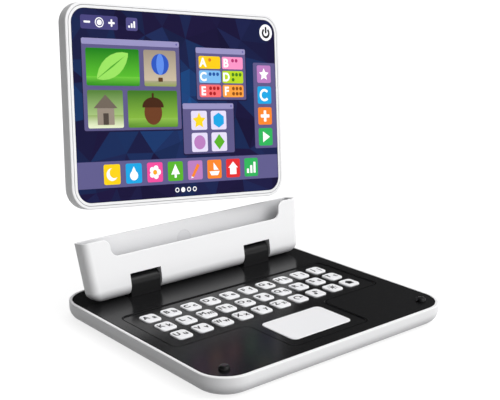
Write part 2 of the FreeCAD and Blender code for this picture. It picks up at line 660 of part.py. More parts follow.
for label, (x, y) in zip(("hinge_lug_left", "hinge_lug_right"), LUG_SPOTS):
    lug = new_body(label, frame(x, y, "0"))
    side = sketch_on(lug, "leg", "-lug_width / 2", "YZ_Plane")
    rectangle(side, "0", "(axis_z + lug_seat) / 2", "2 * lug_radius", "axis_z - lug_seat")
    pad(lug, side, "lug_width")
    cylinders(lug, "barrel", [("0", "axis_z")], "lug_radius", "-lug_width / 2", "lug_width",
              "YZ_Plane")
    soften(lug, "lug_edge", lambda box: box.XMax - box.XMin < TINY and box.ZMax > value("axis_z"))
    holes(lug, "bore", [("0", "axis_z")], "pin_radius + pin_press", "lug_width / 2", "lug_width",
          "YZ_Plane")
    holes(lug, "pilot", [("0", "0")], "screw_radius + thread_gap", "lug_seat",
          "screw_top - lug_seat + boss_gap", reverse=True)

pins = new_body("hinge_pins", frame("0", "axis_y", "axis_z"))
for name, start in (("left", "-lug_offset - pin_half"), ("right", "lug_offset - pin_half")):
    cylinders(pins, name, [("0", "0")], "pin_radius", start, "2 * pin_half", "YZ_Plane")


# Dock: a trough for the tablet in two halves, turning on the pins. Its frame has the hinge axis
# along X through the origin and Z up along the slot.

BOTTOM_STEPS = 6
BOTTOM_START = 8
CORNER_SHARE = 0.62


def dock_half(label, front):
    half = new_body(label, DOCK_FRAME)
    rings = []
    for i in range(BOTTOM_STEPS):
        turn = math.radians(BOTTOM_START + (90 - BOTTOM_START) * i / (BOTTOM_STEPS - 1))
        share = f"{1 - math.sin(turn):.6f}"
        inset = f"dock_thickness / 2 * {share}"
        ring = sketch_on(half, f"ring_{i}", f"-dock_thickness / 2 * {math.cos(turn):.6f}")
        rectangle(ring, "0", "0", f"dock_low_width - 2 * dock_end_bowl * {share}",
                  f"dock_thickness - 2 * {inset}", f"dock_end_round - {CORNER_SHARE} * {inset}")
        rings.append(ring)
    rim = sketch_on(half, "rim", "dock_rim")
    rectangle(rim, "0", "0", "dock_width", "dock_thickness", "dock_end_round")
    loft(half, "bowl", "Additive", rings)
    loft(half, "walls", "Additive", [rings[-1], rim], ruled=True)
    slot = []
    for name, height, width in (("floor", "slot_floor", "slot_low_width"),
                                ("mouth", "dock_rim", "slot_width")):
        slot.append(sketch_on(half, name, height))
        rectangle(slot[-1], "0", "0", width, "slot_thickness", "slot_corner")
    loft(half, "slot", "Subtractive", slot, ruled=True)
    pocket(half, "other_half", "0", ("" if front else "-") + "dock_thickness / 2",
           "2 * dock_width", "dock_thickness", "dock_rim", "dock_rim + dock_thickness")
    low = "dock_rim"
    if front:
        low = "dock_rim - window_drop"
        edge = "dock_width / 2 - front_post_width"
        over = "dock_rim + dock_wall"
        window = sketch_on(half, "window", "0", "XZ_Plane")
        outline(window, [(f"-({edge})", low, "window_round"), (edge, low, "window_round"),
                         (edge, "dock_rim", "window_round"), ("dock_width", "dock_rim", "0"),
                         ("dock_width", over, "0"), ("-dock_width", over, "0"),
                         ("-dock_width", "dock_rim", "0"), (f"-({edge})", "dock_rim", "window_round")])
        cut(half, window, "dock_thickness", reverse=True)
    lowest = value(low) - TINY
    soften(half, "dock_rim_round", lambda box: box.ZMin > lowest and min(box.YLength, box.ZLength) < TINY
           and box.XLength > TINY - box.ZLength and max(-box.YMin, box.YMax) > TINY)

    notches = sketch_on(half, "notches", "notch_top")
    for sign in ("-", ""):
        rectangle(notches, sign + "lug_offset", "0", "2 * notch_half", "2 * dock_thickness")
    cut(half, notches, "notch_top + dock_thickness")
    for name, end in (("left", "pin_half + pin_end_gap - lug_offset"),
                      ("right", "pin_half + pin_end_gap + lug_offset")):
        holes(half, "bore_" + name, [("0", "0")], "pin_radius + pin_gap", end,
              "2 * pin_half + 2 * pin_end_gap", "YZ_Plane")

    inward = "lug_offset - notch_half - cavity_boss"
    outward = "lug_offset + notch_half + cavity_boss"
    end = "dock_width / 2 - cavity_end"
    hollow = sketch_on(half, "hollow", "0", "XZ_Plane")
    middle = "(notch_top - cavity_low) / 2"
    tall = "notch_top + cavity_low"
    rectangle(hollow, "0", middle, f"2 * ({inward})", tall)
    for sign in ("-", ""):
        rectangle(hollow, f"{sign}({outward} + {end}) / 2", middle, f"{end} - ({outward})", tall)
    cut(half, hollow, "slot_thickness / 2", reverse=front)

    if front:
        holes(half, "pilots", DOCK_SPOTS, "screw_radius + thread_gap", "0", "dock_pilot",
              "XZ_Plane", reverse=True)
        return
    holes(half, "shank_rooms", DOCK_SPOTS, "screw_radius + screw_clear", "0", "dock_thickness",
          "XZ_Plane")
    holes(half, "head_rooms", DOCK_SPOTS, "screw_head_radius + screw_clear", "-dock_thickness / 2",
          "screw_sink + screw_head_height", "XZ_Plane", reverse=True)
    holes(half, "disc_room", [DISC_SPOT], "disc_radius + disc_gap", "-slot_thickness / 2",
          "disc_thickness", "XZ_Plane")


DISC_SPOT = ("-disc_aside", "dock_rim - disc_drop")
DOCK_SPOTS = [spot for side in ("-", "+") for spot in
              mirrored(f"(lug_offset {side} (dock_screw_shift))", "dock_screw_rise")]

dock_half("dock_front_shell", True)
dock_half("dock_rear_shell", False)
cylinders(new_body("dock_window", DOCK_FRAME), "disc", [DISC_SPOT], "disc_radius",
          "-slot_thickness / 2", "disc_thickness", "XZ_Plane", reverse=True)
upright = frame("0", "dock_thickness / 2", "0", "1; 0; 0", "90")
screws(new_body("dock_screws", f"{DOCK_FRAME} * {upright}"), DOCK_SPOTS, "screw_sink",
       "screw_head_height", "screw_length")


# Tablet: its frame has X to the right, Y up and Z out of the screen, with the origin in its middle.

shell = new_body("tablet_back_shell", TABLET_FRAME)
block(shell, "outside", "0", "0", "tablet_width", "tablet_height", "-tablet_thickness / 2",
      "tablet_thickness", "tablet_corner")
soften(shell, "tablet_edge_round", at_height("-tablet_thickness / 2"))
soften(shell, "tablet_front_round", at_height("tablet_thickness / 2"))
pocket(shell, "inside", "0", "0", "tablet_width - 2 * tablet_rim", "tablet_height - 2 * tablet_rim",
       "tablet_thickness / 2", "tablet_thickness - tablet_back", "tablet_corner - tablet_rim")
cylinders(shell, "bosses", TABLET_SPOTS, "tablet_boss_radius", "tablet_inside",
          "tablet_boss_height")
BOARD_SPOTS = [(f"tablet_board_aside {across} (tablet_board_width / 2 - post_inset)",
                f"{along}(tablet_board_height / 2 - post_inset) - tablet_board_drop")
               for across in ("-", "+") for along in ("-", "")]
cylinders(shell, "posts", BOARD_SPOTS, "post_radius", "tablet_inside", "tablet_board_rise")
battery_bay(shell, "-bay_drop", "-tablet_thickness / 2 - hump_height", "hump_round")
holes(shell, "head_rooms", TABLET_SPOTS, "screw_head_radius + screw_clear",
      "-tablet_thickness / 2", "low_head_sink + low_head_height", reverse=True)
holes(shell, "shank_rooms", TABLET_SPOTS, "screw_radius + screw_clear", "-tablet_thickness / 2",
      "tablet_split + tablet_thickness / 2", reverse=True)
grille = sketch_on(shell, "grille", "-tablet_thickness / 2")
for i in range(-2, 3):
    rectangle(grille, "-speaker_aside", f"speaker_rise + {i} * grille_pitch",
              "grille_length", "grille_width", "grille_round")
cut(shell, grille, "tablet_back", reverse=True)

bezel = new_body("tablet_front_bezel", TABLET_FRAME)
block(bezel, "ring", "0", "0", "tablet_width - 2 * tablet_rim - 2 * bezel_seam",
      "tablet_height - 2 * tablet_rim - 2 * bezel_seam", "bezel_low", "bezel_thickness",
      "tablet_corner - tablet_rim - bezel_seam")
cylinders(bezel, "bosses", TABLET_SPOTS, "tablet_boss_radius", "bezel_low",
          "bezel_low - tablet_split - boss_gap", reverse=True)
holes(bezel, "pilots", TABLET_SPOTS, "screw_radius + thread_gap", "tablet_split",
      "low_head_sink + low_head_height + tablet_screw_length + boss_gap - tablet_thickness / 2"
      " - tablet_split", reverse=True)
pocket(bezel, "screen_seat", "0", "0", "screen_width + 2 * screen_gap",
       "screen_height + 2 * screen_gap", "tablet_thickness / 2",
       "screen_sink + overlay_thickness", "screen_corner + screen_gap")
pocket(bezel, "opening", "0", "0", "screen_width - 2 * screen_ledge",
       "screen_height - 2 * screen_ledge", "overlay_low", "overlay_low - bezel_low",
       "screen_corner - screen_ledge")

block(new_body("screen_overlay", TABLET_FRAME), "sheet", "0", "0", "screen_width",
      "screen_height", "overlay_low", "overlay_thickness", "screen_corner")
block(new_body("touch_sensor_sheet", TABLET_FRAME), "sheet", "0", "0",
      "screen_width - 2 * screen_ledge - 2 * screen_gap",
      "screen_height - 2 * screen_ledge - 2 * screen_gap", "overlay_low - touch_thickness",
      "touch_thickness", "screen_corner - screen_ledge - screen_gap")
block(new_body("tablet_circuit_board", TABLET_FRAME), "sheet", "tablet_board_aside",
      "-tablet_board_drop", "tablet_board_width", "tablet_board_height",
      "tablet_inside + tablet_board_rise", "board_thickness")

speaker = new_body("tablet_speaker", TABLET_FRAME)
SPEAKER_SPOT = [("-speaker_aside", "speaker_rise")]
cylinders(speaker, "frame", SPEAKER_SPOT, "speaker_radius", "tablet_inside", "speaker_frame")
cylinders(speaker, "magnet", SPEAKER_SPOT, "speaker_magnet_radius",
          "tablet_inside + speaker_frame", "speaker_magnet")

battery_set("tablet", TABLET_FRAME + " * " + frame("0", "-bay_drop",
                                                   "-tablet_thickness / 2 - hump_height"))
screws(new_body("tablet_case_screws", TABLET_FRAME + " * " + frame("0", "0", "-tablet_thickness / 2")),
       TABLET_SPOTS, "low_head_sink", "low_head_height", "tablet_screw_length")

DOC.recompute()
for thing in DOC.Objects:
    if "Invalid" in thing.State or "Error" in thing.State:
        raise RuntimeError(f"{thing.Label} did not build: {thing.State}")
os.makedirs("parts", exist_ok=True)
for body in BODIES:
    if body.Shape.isNull() or not body.Shape.isValid():
        raise RuntimeError(f"{body.Label} has no valid shape")
    body.Shape.exportStep(f"parts/{body.Label}.step")
print(len(BODIES), "pieces written")
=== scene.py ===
# %% [markdown]
# # A toy laptop with its tablet lifted out
# The CAD model holds every solid piece of the toy. This notebook gives those pieces their plastics,
# prints the marks on the keys and the picture on the screen, and lights it all like a catalogue
# photograph on white. Sizes in millimetres are multiplied by `MM`, because Blender works in metres.

# %% Load the CAD frame
import json
import math
import random

import bmesh
import bpy
from mathutils import Matrix, Vector


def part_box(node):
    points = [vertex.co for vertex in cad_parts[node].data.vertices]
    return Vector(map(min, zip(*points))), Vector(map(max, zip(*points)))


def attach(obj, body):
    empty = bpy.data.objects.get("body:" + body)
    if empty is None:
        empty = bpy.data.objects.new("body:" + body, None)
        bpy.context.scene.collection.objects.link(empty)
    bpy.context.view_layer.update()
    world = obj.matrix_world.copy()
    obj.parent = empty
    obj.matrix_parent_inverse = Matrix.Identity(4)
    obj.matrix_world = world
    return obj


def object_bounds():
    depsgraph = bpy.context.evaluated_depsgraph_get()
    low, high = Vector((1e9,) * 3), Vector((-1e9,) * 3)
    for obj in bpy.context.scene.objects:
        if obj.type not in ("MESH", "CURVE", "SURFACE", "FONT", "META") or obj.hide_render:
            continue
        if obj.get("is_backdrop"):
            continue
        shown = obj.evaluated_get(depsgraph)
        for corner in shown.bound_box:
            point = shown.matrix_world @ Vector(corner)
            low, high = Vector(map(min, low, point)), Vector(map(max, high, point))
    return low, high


MM = 0.001
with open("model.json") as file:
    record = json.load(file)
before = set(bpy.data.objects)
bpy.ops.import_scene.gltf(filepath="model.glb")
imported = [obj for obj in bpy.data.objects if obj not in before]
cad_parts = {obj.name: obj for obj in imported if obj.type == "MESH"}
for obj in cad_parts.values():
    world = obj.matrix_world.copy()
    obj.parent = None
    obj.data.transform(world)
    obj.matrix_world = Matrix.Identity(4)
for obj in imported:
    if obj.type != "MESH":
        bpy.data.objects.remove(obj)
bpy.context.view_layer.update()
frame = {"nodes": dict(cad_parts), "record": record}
nodes = frame["nodes"]

# %% [markdown]
# ## Wiring shaders with plain arithmetic
# A shader is a graph of nodes. `Tree.add` adds any kind of node and returns a `Wire`, which is one
# output of that node. Wires can be added and multiplied with Python's own operators, and each
# operation quietly adds a Math node. That keeps the materials below short enough to read.

# %% A small shader helper
class Wire:
    """One output of a node, usable in sums."""

    def __init__(self, tree, socket):
        self.tree = tree
        self.socket = socket

    def math(self, operation, first, second):
        return self.tree.add("ShaderNodeMath", [first, second], operation=operation)

    def __add__(self, other):
        return self.math("ADD", self, other)

    def __sub__(self, other):
        return self.math("SUBTRACT", self, other)

    def __rsub__(self, other):
        return self.math("SUBTRACT", other, self)

    def __mul__(self, other):
        return self.math("MULTIPLY", self, other)

    def __pow__(self, other):
        return self.math("POWER", self, other)

    __radd__ = __add__
    __rmul__ = __mul__


class Tree:
    """The node graph of a material or of the world."""

    def __init__(self, owner):
        owner.use_nodes = True
        self.graph = owner.node_tree
        self.graph.nodes.clear()

    def add(self, kind, inputs=(), out=0, **settings):
        node = self.graph.nodes.new(kind)
        for name, value in settings.items():
            setattr(node, name, value)
        pairs = inputs.items() if isinstance(inputs, dict) else enumerate(inputs)
        for key, value in pairs:
            if isinstance(value, Wire):
                self.graph.links.new(value.socket, node.inputs[key])
            else:
                node.inputs[key].default_value = value
        return Wire(self, node.outputs[out]) if node.outputs else node


def linear(code):
    """A web colour such as "#5c5682" as the linear values that shaders use."""
    parts = [int(code[i:i + 2], 16) / 255 for i in (1, 3, 5)]
    return [p / 12.92 if p <= 0.04045 else ((p + 0.055) / 1.055) ** 2.4 for p in parts] + [1.0]


print("shader helper ready")

# %% [markdown]
# ## Plastics and metals
# Moulded plastic is never quite even: a fine grain in the mould makes it satin. `surface` lays a
# noise over the piece in its own coordinates. The noise nudges the roughness a little and, through
# a Bump node, tilts the normals a little. White walls also look darker deep in a corner, where less
# light gets in. That shade is painted into the colour: an Ambient Occlusion node mixes a darker
# white into the base colour within `CREASE_REACH` of another surface. The record says which
# material slot each node belongs to.

# %% Make one material for each slot
CREASE_REACH = 24.0
GRAIN_DEPTH = 0.1


def surface(name, colour, roughness, grain=0.0, uneven=0.0, size=0.6, painted_shade=None, **fixed):
    material = bpy.data.materials.new(name)
    tree = Tree(material)
    inputs = {"Base Color": linear(colour), "Roughness": roughness}
    inputs.update({key.replace("_", " "): value for key, value in fixed.items()})
    # Painted shade: Ambient Occlusion turns the base colour towards a darker white in corners and
    # creases.
    if painted_shade:
        open_air = tree.add("ShaderNodeAmbientOcclusion", {"Distance": CREASE_REACH * MM},
                            out="AO", samples=12)
        shades = {0: open_air, 6: linear(painted_shade), 7: linear(colour)}
        inputs["Base Color"] = tree.add("ShaderNodeMix", shades, out=2, data_type="RGBA")
    if grain or uneven:
        place = tree.add("ShaderNodeTexCoord", out="Object")
        noise = tree.add("ShaderNodeTexNoise", {"Vector": place, "Scale": 1 / (size * MM),
                                                "Detail": 2.0})
        inputs["Roughness"] = (noise - 0.5) * uneven + roughness
        if grain:
            inputs["Normal"] = tree.add("ShaderNodeBump", {"Height": noise, "Strength": grain,
                                                           "Distance": GRAIN_DEPTH * MM})
    shader = tree.add("ShaderNodeBsdfPrincipled", inputs)
    tree.add("ShaderNodeOutputMaterial", {"Surface": shader})
    return material


# white_shell and dock_window get a darker white as painted shade for their corners and creases.
looks = {
    "white_shell": surface("white_shell", "#e8e8e9", 0.42, grain=0.12, uneven=0.1,
                           painted_shade="#adadb0"),
    "black_plate": surface("black_plate", "#151516", 0.19, uneven=0.04, size=14.0,
                           Specular_IOR_Level=0.2),
    "white_key": surface("white_key", "#eaeaec", 0.38, grain=0.08, uneven=0.08),
    "black_hinge": surface("black_hinge", "#161617", 0.3, grain=0.1, uneven=0.1),
    "steel": surface("steel", "#b9babd", 0.35, uneven=0.1, Metallic=1.0),
    "contact": surface("contact", "#c9c5bb", 0.3, uneven=0.1, Metallic=1.0),
    "black_rubber": surface("black_rubber", "#141415", 0.22, uneven=0.08),
    "grey_rubber": surface("grey_rubber", "#5a5a5c", 0.75, grain=0.3, uneven=0.1),
    "key_rubber": surface("key_rubber", "#8d9094", 0.65, uneven=0.1),
    "circuit_board": surface("circuit_board", "#0f5a30", 0.45, uneven=0.1),
    "battery_cell": surface("battery_cell", "#3b3d44", 0.3, uneven=0.1, Metallic=0.6),
    "dock_window": surface("dock_window", "#e2e2e4", 0.5, grain=0.1, painted_shade="#a8a8ab"),
    "screen_print": surface("screen_print", "#221d4a", 0.3, uneven=0.05),
    "touch_sensor": surface("touch_sensor", "#c6c6cc", 0.4, uneven=0.05),
    "speaker": surface("speaker", "#202123", 0.5, uneven=0.1),
}
for piece in frame["record"]["subparts"]:
    mesh = nodes[piece["node"]].data
    mesh.materials.clear()
    mesh.materials.append(looks[piece["material_slot"]])

# %% [markdown]
# ## Flat shapes for printing
# Every mark on this toy is flat: tiles with round corners, discs, stars, bands and letters. Each
# starts from a create operator of bmesh, or from a few vertices, and a second operator shapes it:
# a corner bevel rounds a tile, and a spin sweeps an edge into a band. All sizes are millimetres.

# %% Tiles, discs, stars and bands
def rounded(left, low, right, high, radius):
    """A rectangle with round corners."""
    shape = bmesh.new()
    place = Matrix.Translation(((left + right) / 2, (low + high) / 2, 0))
    bmesh.ops.create_grid(shape, x_segments=1, y_segments=1, size=0.5,
                          matrix=place @ Matrix.Diagonal((right - left, high - low, 1, 1)))
    bmesh.ops.bevel(shape, geom=shape.verts[:], offset=radius, offset_type="OFFSET",
                    affect="VERTICES", segments=5, profile=0.5, material=-1)
    return shape


def disc(x, y, across, tall=None):
    """A circle, or an ellipse where `tall` is given."""
    shape = bmesh.new()
    place = Matrix.Translation((x, y, 0)) @ Matrix.Diagonal((across, tall or across, 1, 1))
    bmesh.ops.create_circle(shape, cap_ends=True, segments=28, radius=1.0, matrix=place)
    return shape


def star(x, y, outer, inner, tips=5):
    """A ring of corners with every second one drawn in, and its first tip up."""
    shape = bmesh.new()
    bmesh.ops.create_circle(shape, cap_ends=True, segments=2 * tips, radius=outer)
    for corner in shape.verts[:][1::2]:
        corner.co *= inner / outer
    bmesh.ops.translate(shape, vec=(x, y, 0), verts=shape.verts)
    return shape


def band(x, y, radius, width, start=0, end=360):
    """A bent band from one angle to another in degrees, or a whole ring."""
    shape = bmesh.new()
    ends = [shape.verts.new((x + radius + side * width / 2, y, 0)) for side in (-1, 1)]
    bar = shape.edges.new(ends)
    bmesh.ops.rotate(shape, verts=ends, cent=(x, y, 0),
                     matrix=Matrix.Rotation(math.radians(start), 3, "Z"))
    bmesh.ops.spin(shape, geom=ends + [bar], cent=(x, y, 0), axis=(0, 0, 1), steps=24,
                   angle=math.radians(end - start), use_merge=end - start == 360)
    return shape


def corners(*spots):
    """A plain shape through a few corners."""
    shape = bmesh.new()
    shape.faces.new([shape.verts.new((x, y, 0)) for x, y in spots])
    return shape


def trim(shape, outline):
    """Cuts a shape down to a convex outline, one edge of the outline after another."""
    outline.faces.ensure_lookup_table()
    for loop in outline.faces[0].loops:
        run = loop.link_loop_next.vert.co - loop.vert.co
        bmesh.ops.bisect_plane(shape, geom=shape.verts[:] + shape.edges[:] + shape.faces[:],
                               plane_co=loop.vert.co, plane_no=(run.y, -run.x, 0), clear_outer=True)
    outline.free()
    return shape


sample = rounded(0, 0, 10, 6, 2)
print("a rounded tile has", len(sample.verts), "corners")
sample.free()

# %% [markdown]
# ## Letters
# Blender's own font is used. A text object is a curve, so it is turned into a mesh at once, and
# from there it is a flat shape like the others. The height of a plain H is the measure for all.
# The toy's letters are bold. A text curve has an offset for that, but it tangles in small letters
# such as e, so `bolder` pushes the rim of the finished mesh outwards instead.

# %% Letters
BOLD = 0.055


def bolder(shape, by):
    """Pushes the rim of a flat shape outwards, and sharp corners by half as much again at most."""
    push = {}
    for edge in (edge for edge in shape.edges if edge.is_boundary):
        start, end = (vert.co for vert in edge.verts)
        out = (end - start).normalized().cross(Vector((0, 0, 1)))
        if out.dot(start - edge.link_faces[0].calc_center_median()) < 0:
            out = -out
        for vert in edge.verts:
            push[vert] = push.get(vert, Vector()) + out
    for vert, way in push.items():
        vert.co += way.normalized() * by * min(2 / max(way.length, 0.01), 1.5)


def letters(words, x, y, height, widest):
    """A line of text around a point, its capitals `height` tall, narrowed where it is too wide."""
    curve = bpy.data.curves.new("letters", "FONT")
    curve.body = words
    writing = bpy.data.objects.new("letters", curve)
    bpy.context.scene.collection.objects.link(writing)
    graph = bpy.context.evaluated_depsgraph_get()
    mesh = bpy.data.meshes.new_from_object(writing.evaluated_get(graph))
    shape = bmesh.new()
    shape.from_mesh(mesh)
    bpy.data.objects.remove(writing)
    bpy.data.meshes.remove(mesh)
    bpy.data.curves.remove(curve)
    left = min(v.co.x for v in shape.verts)
    right = max(v.co.x for v in shape.verts)
    size = height / CAPITAL
    narrow = min(size, widest / (right - left))
    bmesh.ops.translate(shape, vec=(-(left + right) / 2, 0, 0), verts=shape.verts)
    bmesh.ops.scale(shape, vec=(narrow, size, 1), verts=shape.verts)
    bmesh.ops.translate(shape, vec=(x, y - height / 2, 0), verts=shape.verts)
    bolder(shape, height * BOLD)
    return shape


CAPITAL = 1.0
plain = letters("H", 0, 0.5, 1.0, 1.0)
CAPITAL = max(v.co.y for v in plain.verts) - BOLD
plain.free()
print("a capital is", round(CAPITAL, 3), "of the font's size")

# %% [markdown]
# ## A print
# A `Print` gathers flat shapes into one mesh. Each shape brings its colour in an attribute called
# "ink", which the ink materials read. `level` lifts a shape by a few hundredths of a millimetre, so
# that it covers the shapes below it. `lay` puts the mesh in place and lets it ride on a body.

# %% The print and its inks
class Print:
    """Flat shapes of ink, one over another, on one face of the toy."""

    LEVEL = 0.03

    def __init__(self):
        self.mesh = bmesh.new()

    def shape(self, shape, colour, level=1):
        """Adds a shape in one colour, or in the colour that a function gives for each corner."""
        ink = shape.loops.layers.float_color.new("ink")
        for face in shape.faces:
            for loop in face.loops:
                tint = colour(loop) if callable(colour) else colour
                loop[ink] = linear(tint) if isinstance(tint, str) else tint
        bmesh.ops.translate(shape, vec=(0, 0, level * self.LEVEL), verts=shape.verts)
        sheet = bpy.data.meshes.new("sheet")
        shape.to_mesh(sheet)
        shape.free()
        self.mesh.from_mesh(sheet)
        bpy.data.meshes.remove(sheet)

    def lay(self, name, place, material, body):
        """Puts the finished print on the toy, to move with one of its bodies."""
        self.mesh.normal_update()
        down = [face for face in self.mesh.faces if face.normal.z < 0]
        bmesh.ops.reverse_faces(self.mesh, faces=down)
        self.mesh.transform(place @ Matrix.Diagonal((MM, MM, MM, 1)))
        mesh = bpy.data.meshes.new(name)
        self.mesh.to_mesh(mesh)
        self.mesh.free()
        mesh.materials.append(material)
        thing = bpy.data.objects.new(name, mesh)
        bpy.context.scene.collection.objects.link(thing)
        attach(thing, body)
        return thing


def ink_material(name, roughness, **fixed):
    material = bpy.data.materials.new(name)
    tree = Tree(material)
    ink = tree.add("ShaderNodeVertexColor", out="Color", layer_name="ink")
    inputs = {"Base Color": ink, "Roughness": roughness}
    inputs.update({key.replace("_", " "): value for key, value in fixed.items()})
    tree.add("ShaderNodeOutputMaterial",
             {"Surface": tree.add("ShaderNodeBsdfPrincipled", inputs)})
    return material


key_ink = ink_material("key_ink", 0.5, Specular_IOR_Level=0.2)
screen_ink = ink_material("screen_ink", 0.3, Specular_IOR_Level=0.08)
# The matt ink of the painted shade line round the well of the keys.
groove_shade_ink = ink_material("groove_shade_ink", 0.9, Specular_IOR_Level=0.05)
print("inks ready:", key_ink.name, screen_ink.name, groove_shade_ink.name)

# %% [markdown]
# ## Marks on the keys
# Each key shows a capital at its upper left and the small letter at its lower right. The last four
# keys carry simple signs. Each print rides on its own key, so it goes down when the key is pressed.

# %% Print the keys
DARK = "#161618"
TALL, WIDE = 4.5, 4.8


def sign_again():
    return [band(0, 0, 2.9, 1.0, -20, 250), corners((1.0, -1.4), (4.6, -0.8), (2.4, 1.9))]


def sign_note():
    return [disc(-1.6, -2.2, 1.5, 1.2), rounded(-0.9, -2.2, 0.0, 3.3, 0.2),
            corners((-0.5, 3.3), (-0.5, 1.6), (2.6, 0.0), (2.6, 1.7))]


def sign_sun():
    rays = [rounded(2.5, -0.4, 3.9, 0.4, 0.2) for i in range(8)]
    for i, ray in enumerate(rays):
        bmesh.ops.rotate(ray, verts=ray.verts, matrix=Matrix.Rotation(math.tau * i / 8, 3, "Z"))
    return [disc(0, 0, 1.7)] + rays


def sign_home():
    return [corners((-3.8, 0.1), (3.8, 0.1), (0, 3.6)), rounded(-2.5, -3.2, 2.5, 0.3, 0.3)]


signs = {"key_again": sign_again, "key_note": sign_note, "key_sun": sign_sun, "key_home": sign_home}
keys = sorted(name for name in nodes if name.startswith("key_"))
for name in keys:
    page = Print()
    if name in signs:
        marks = signs[name]()
    else:
        marks = [letters(name[-1].upper(), -2.8, 1.2, TALL, WIDE),
                 letters(name[-1], 2.9, -0.2, TALL, WIDE)]
    for mark in marks:
        page.shape(mark, DARK)
    low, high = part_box(name)
    top = Matrix.Translation(((low.x + high.x) / 2, (low.y + high.y) / 2, high.z))
    page.lay("mark_" + name[4:], top, key_ink, name)
print(len(keys), "keys printed")

# %% [markdown]
# ## The painted shade line round the keys
# A hair-fine dark line follows the T-shaped well of the keys and the touchpad. It is painted shade:
# the step down into the well lies in shade there. It is drawn on the plate as a narrow matt band:
# the T starts from eight corners, a bevel rounds them, and an inset leaves only the rim. The keys'
# and the touchpad's own boxes, less the hidden flange that holds them in, say where the T lies.

# %% Draw the line round the well
def rim_of(shape, width):
    """The outer rim of a flat shape."""
    middle = shape.faces[:]
    bmesh.ops.inset_region(shape, faces=middle, thickness=width, use_boundary=True)
    bmesh.ops.delete(shape, geom=middle, context="FACES")
    return shape


FLANGE = 1.0
GROOVE = 0.95
GROOVE_WIDTH = 0.6
GROOVE_CORNER = 6.0
KEYS_SIDE, KEYS_BACK, KEYS_FRONT = 9.25, 7.35, 8.95
PAD_SIDE, PAD_FRONT = 7.55, 8.4
out = GROOVE - FLANGE
first, last, pad = (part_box(name) for name in ("key_a", "key_home", "touchpad_button"))
well_half = -first[0].x / MM + KEYS_SIDE + out
well_back = first[1].y / MM + KEYS_BACK + out
shoulder = last[0].y / MM - KEYS_FRONT - out
pad_half = pad[1].x / MM + PAD_SIDE + out
pad_front = pad[0].y / MM - PAD_FRONT - out
tee = corners((-pad_half, pad_front), (pad_half, pad_front), (pad_half, shoulder),
              (well_half, shoulder), (well_half, well_back), (-well_half, well_back),
              (-well_half, shoulder), (-pad_half, shoulder))
bmesh.ops.bevel(tee, geom=tee.verts[:], offset=GROOVE_CORNER, offset_type="OFFSET",
                affect="VERTICES", segments=6, profile=0.5, material=-1)
# Painted shade: a near-black band along the edge of the well, where the step down into it lies in
# shade.
line = Print()
line.shape(rim_of(tee, GROOVE_WIDTH), "#030303", 0.4)
plate_top = Matrix.Translation((0, 0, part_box("base_top_plate")[1].z))
line.lay("well_shade_line", plate_top, groove_shade_ink, "base")
print("line drawn round a well", round(2 * well_half, 1), "mm wide")

# %% [markdown]
# ## The screen's own frame
# The tablet leans back with the dock and is tipped to the right. Turning the screen's corners back
# by those two angles gives an upright rectangle, and its middle and front are where the picture
# goes. After that the picture can be drawn in plain millimetres: x to the right, y up.

# %% Find the screen
LEAN = 10.0
TIP = 5.9
turned = (Matrix.Rotation(math.radians(-LEAN), 4, "X") @ Matrix.Rotation(math.radians(TIP), 4, "Y")
          @ Matrix.Rotation(math.radians(90), 4, "X"))
flat = [turned.inverted() @ v.co for v in nodes["screen_overlay"].data.vertices]
middle = Vector([(min(v[i] for v in flat) + max(v[i] for v in flat)) / 2 for i in range(2)]
                + [max(v.z for v in flat)])
screen = turned @ Matrix.Translation(middle)
half_wide = (max(v.x for v in flat) - middle.x) / MM
half_tall = (max(v.y for v in flat) - middle.y) / MM
print("screen", round(2 * half_wide, 2), "x", round(2 * half_tall, 2), "mm")

# %% [markdown]
# ## The backdrop of facets
# The backdrop is a grid whose points are nudged at random and whose squares are cut into triangles.
# Each triangle has one deep tint: navy above and below, bluer across the middle, a little uneven
# everywhere. Planes along the screen's rounded outline then cut off what lies outside it.

# %% Draw the facets
NAVY, BLUE, PLUM = (linear(code) for code in ("#120e33", "#124a86", "#231749"))
NUDGE = 8.0
SCREEN_EDGE = 0.1
SCREEN_CORNER = 10.8


def blend(first, second, share):
    return [a + (b - a) * share for a, b in zip(first, second)]


dice = random.Random(11)
facets = bmesh.new()
spread = Matrix.Diagonal((2 * (half_wide + NUDGE), 2 * (half_tall + NUDGE), 1, 1))
bmesh.ops.create_grid(facets, x_segments=9, y_segments=7, size=0.5, matrix=spread)
for knot in facets.verts:
    knot.co.x += dice.uniform(-NUDGE, NUDGE)
    knot.co.y += dice.uniform(-NUDGE, NUDGE)
bmesh.ops.triangulate(facets, faces=facets.faces[:])
edge_x, edge_y = half_wide - SCREEN_EDGE, half_tall - SCREEN_EDGE
trim(facets, rounded(-edge_x, -edge_y, edge_x, edge_y, SCREEN_CORNER))
facets.faces.index_update()
tints = []
for face in facets.faces:
    x, y, _ = face.calc_center_median()
    glow = math.exp(-((y - 4) / 31) ** 2) * (0.6 + 0.4 * math.cos((x + 20) / 24))
    share = min(max(glow + dice.uniform(-0.24, 0.24), 0.0), 1.0)
    tints.append(blend(blend(NAVY, BLUE, share), PLUM, dice.uniform(0.0, 0.35)))
picture = Print()
picture.shape(facets, lambda loop: tints[loop.face.index], 1)
print(len(tints), "facets")

# %% [markdown]
# ## Windows and tiles on the screen
# Everything else on the screen lies over the facets. First come three grey-violet windows with
# paler title bars, a side panel and the band for the buttons. Each window has a dark copy of itself
# a little lower, which reads as a soft shadow in the print.

# %% Draw the windows
WINDOW, BAR, BAND, SHADE = "#5c5684", "#928dba", "#5d5988", "#19163c"
PALE, WHITE = "#ddd5ee", "#fbfbfd"


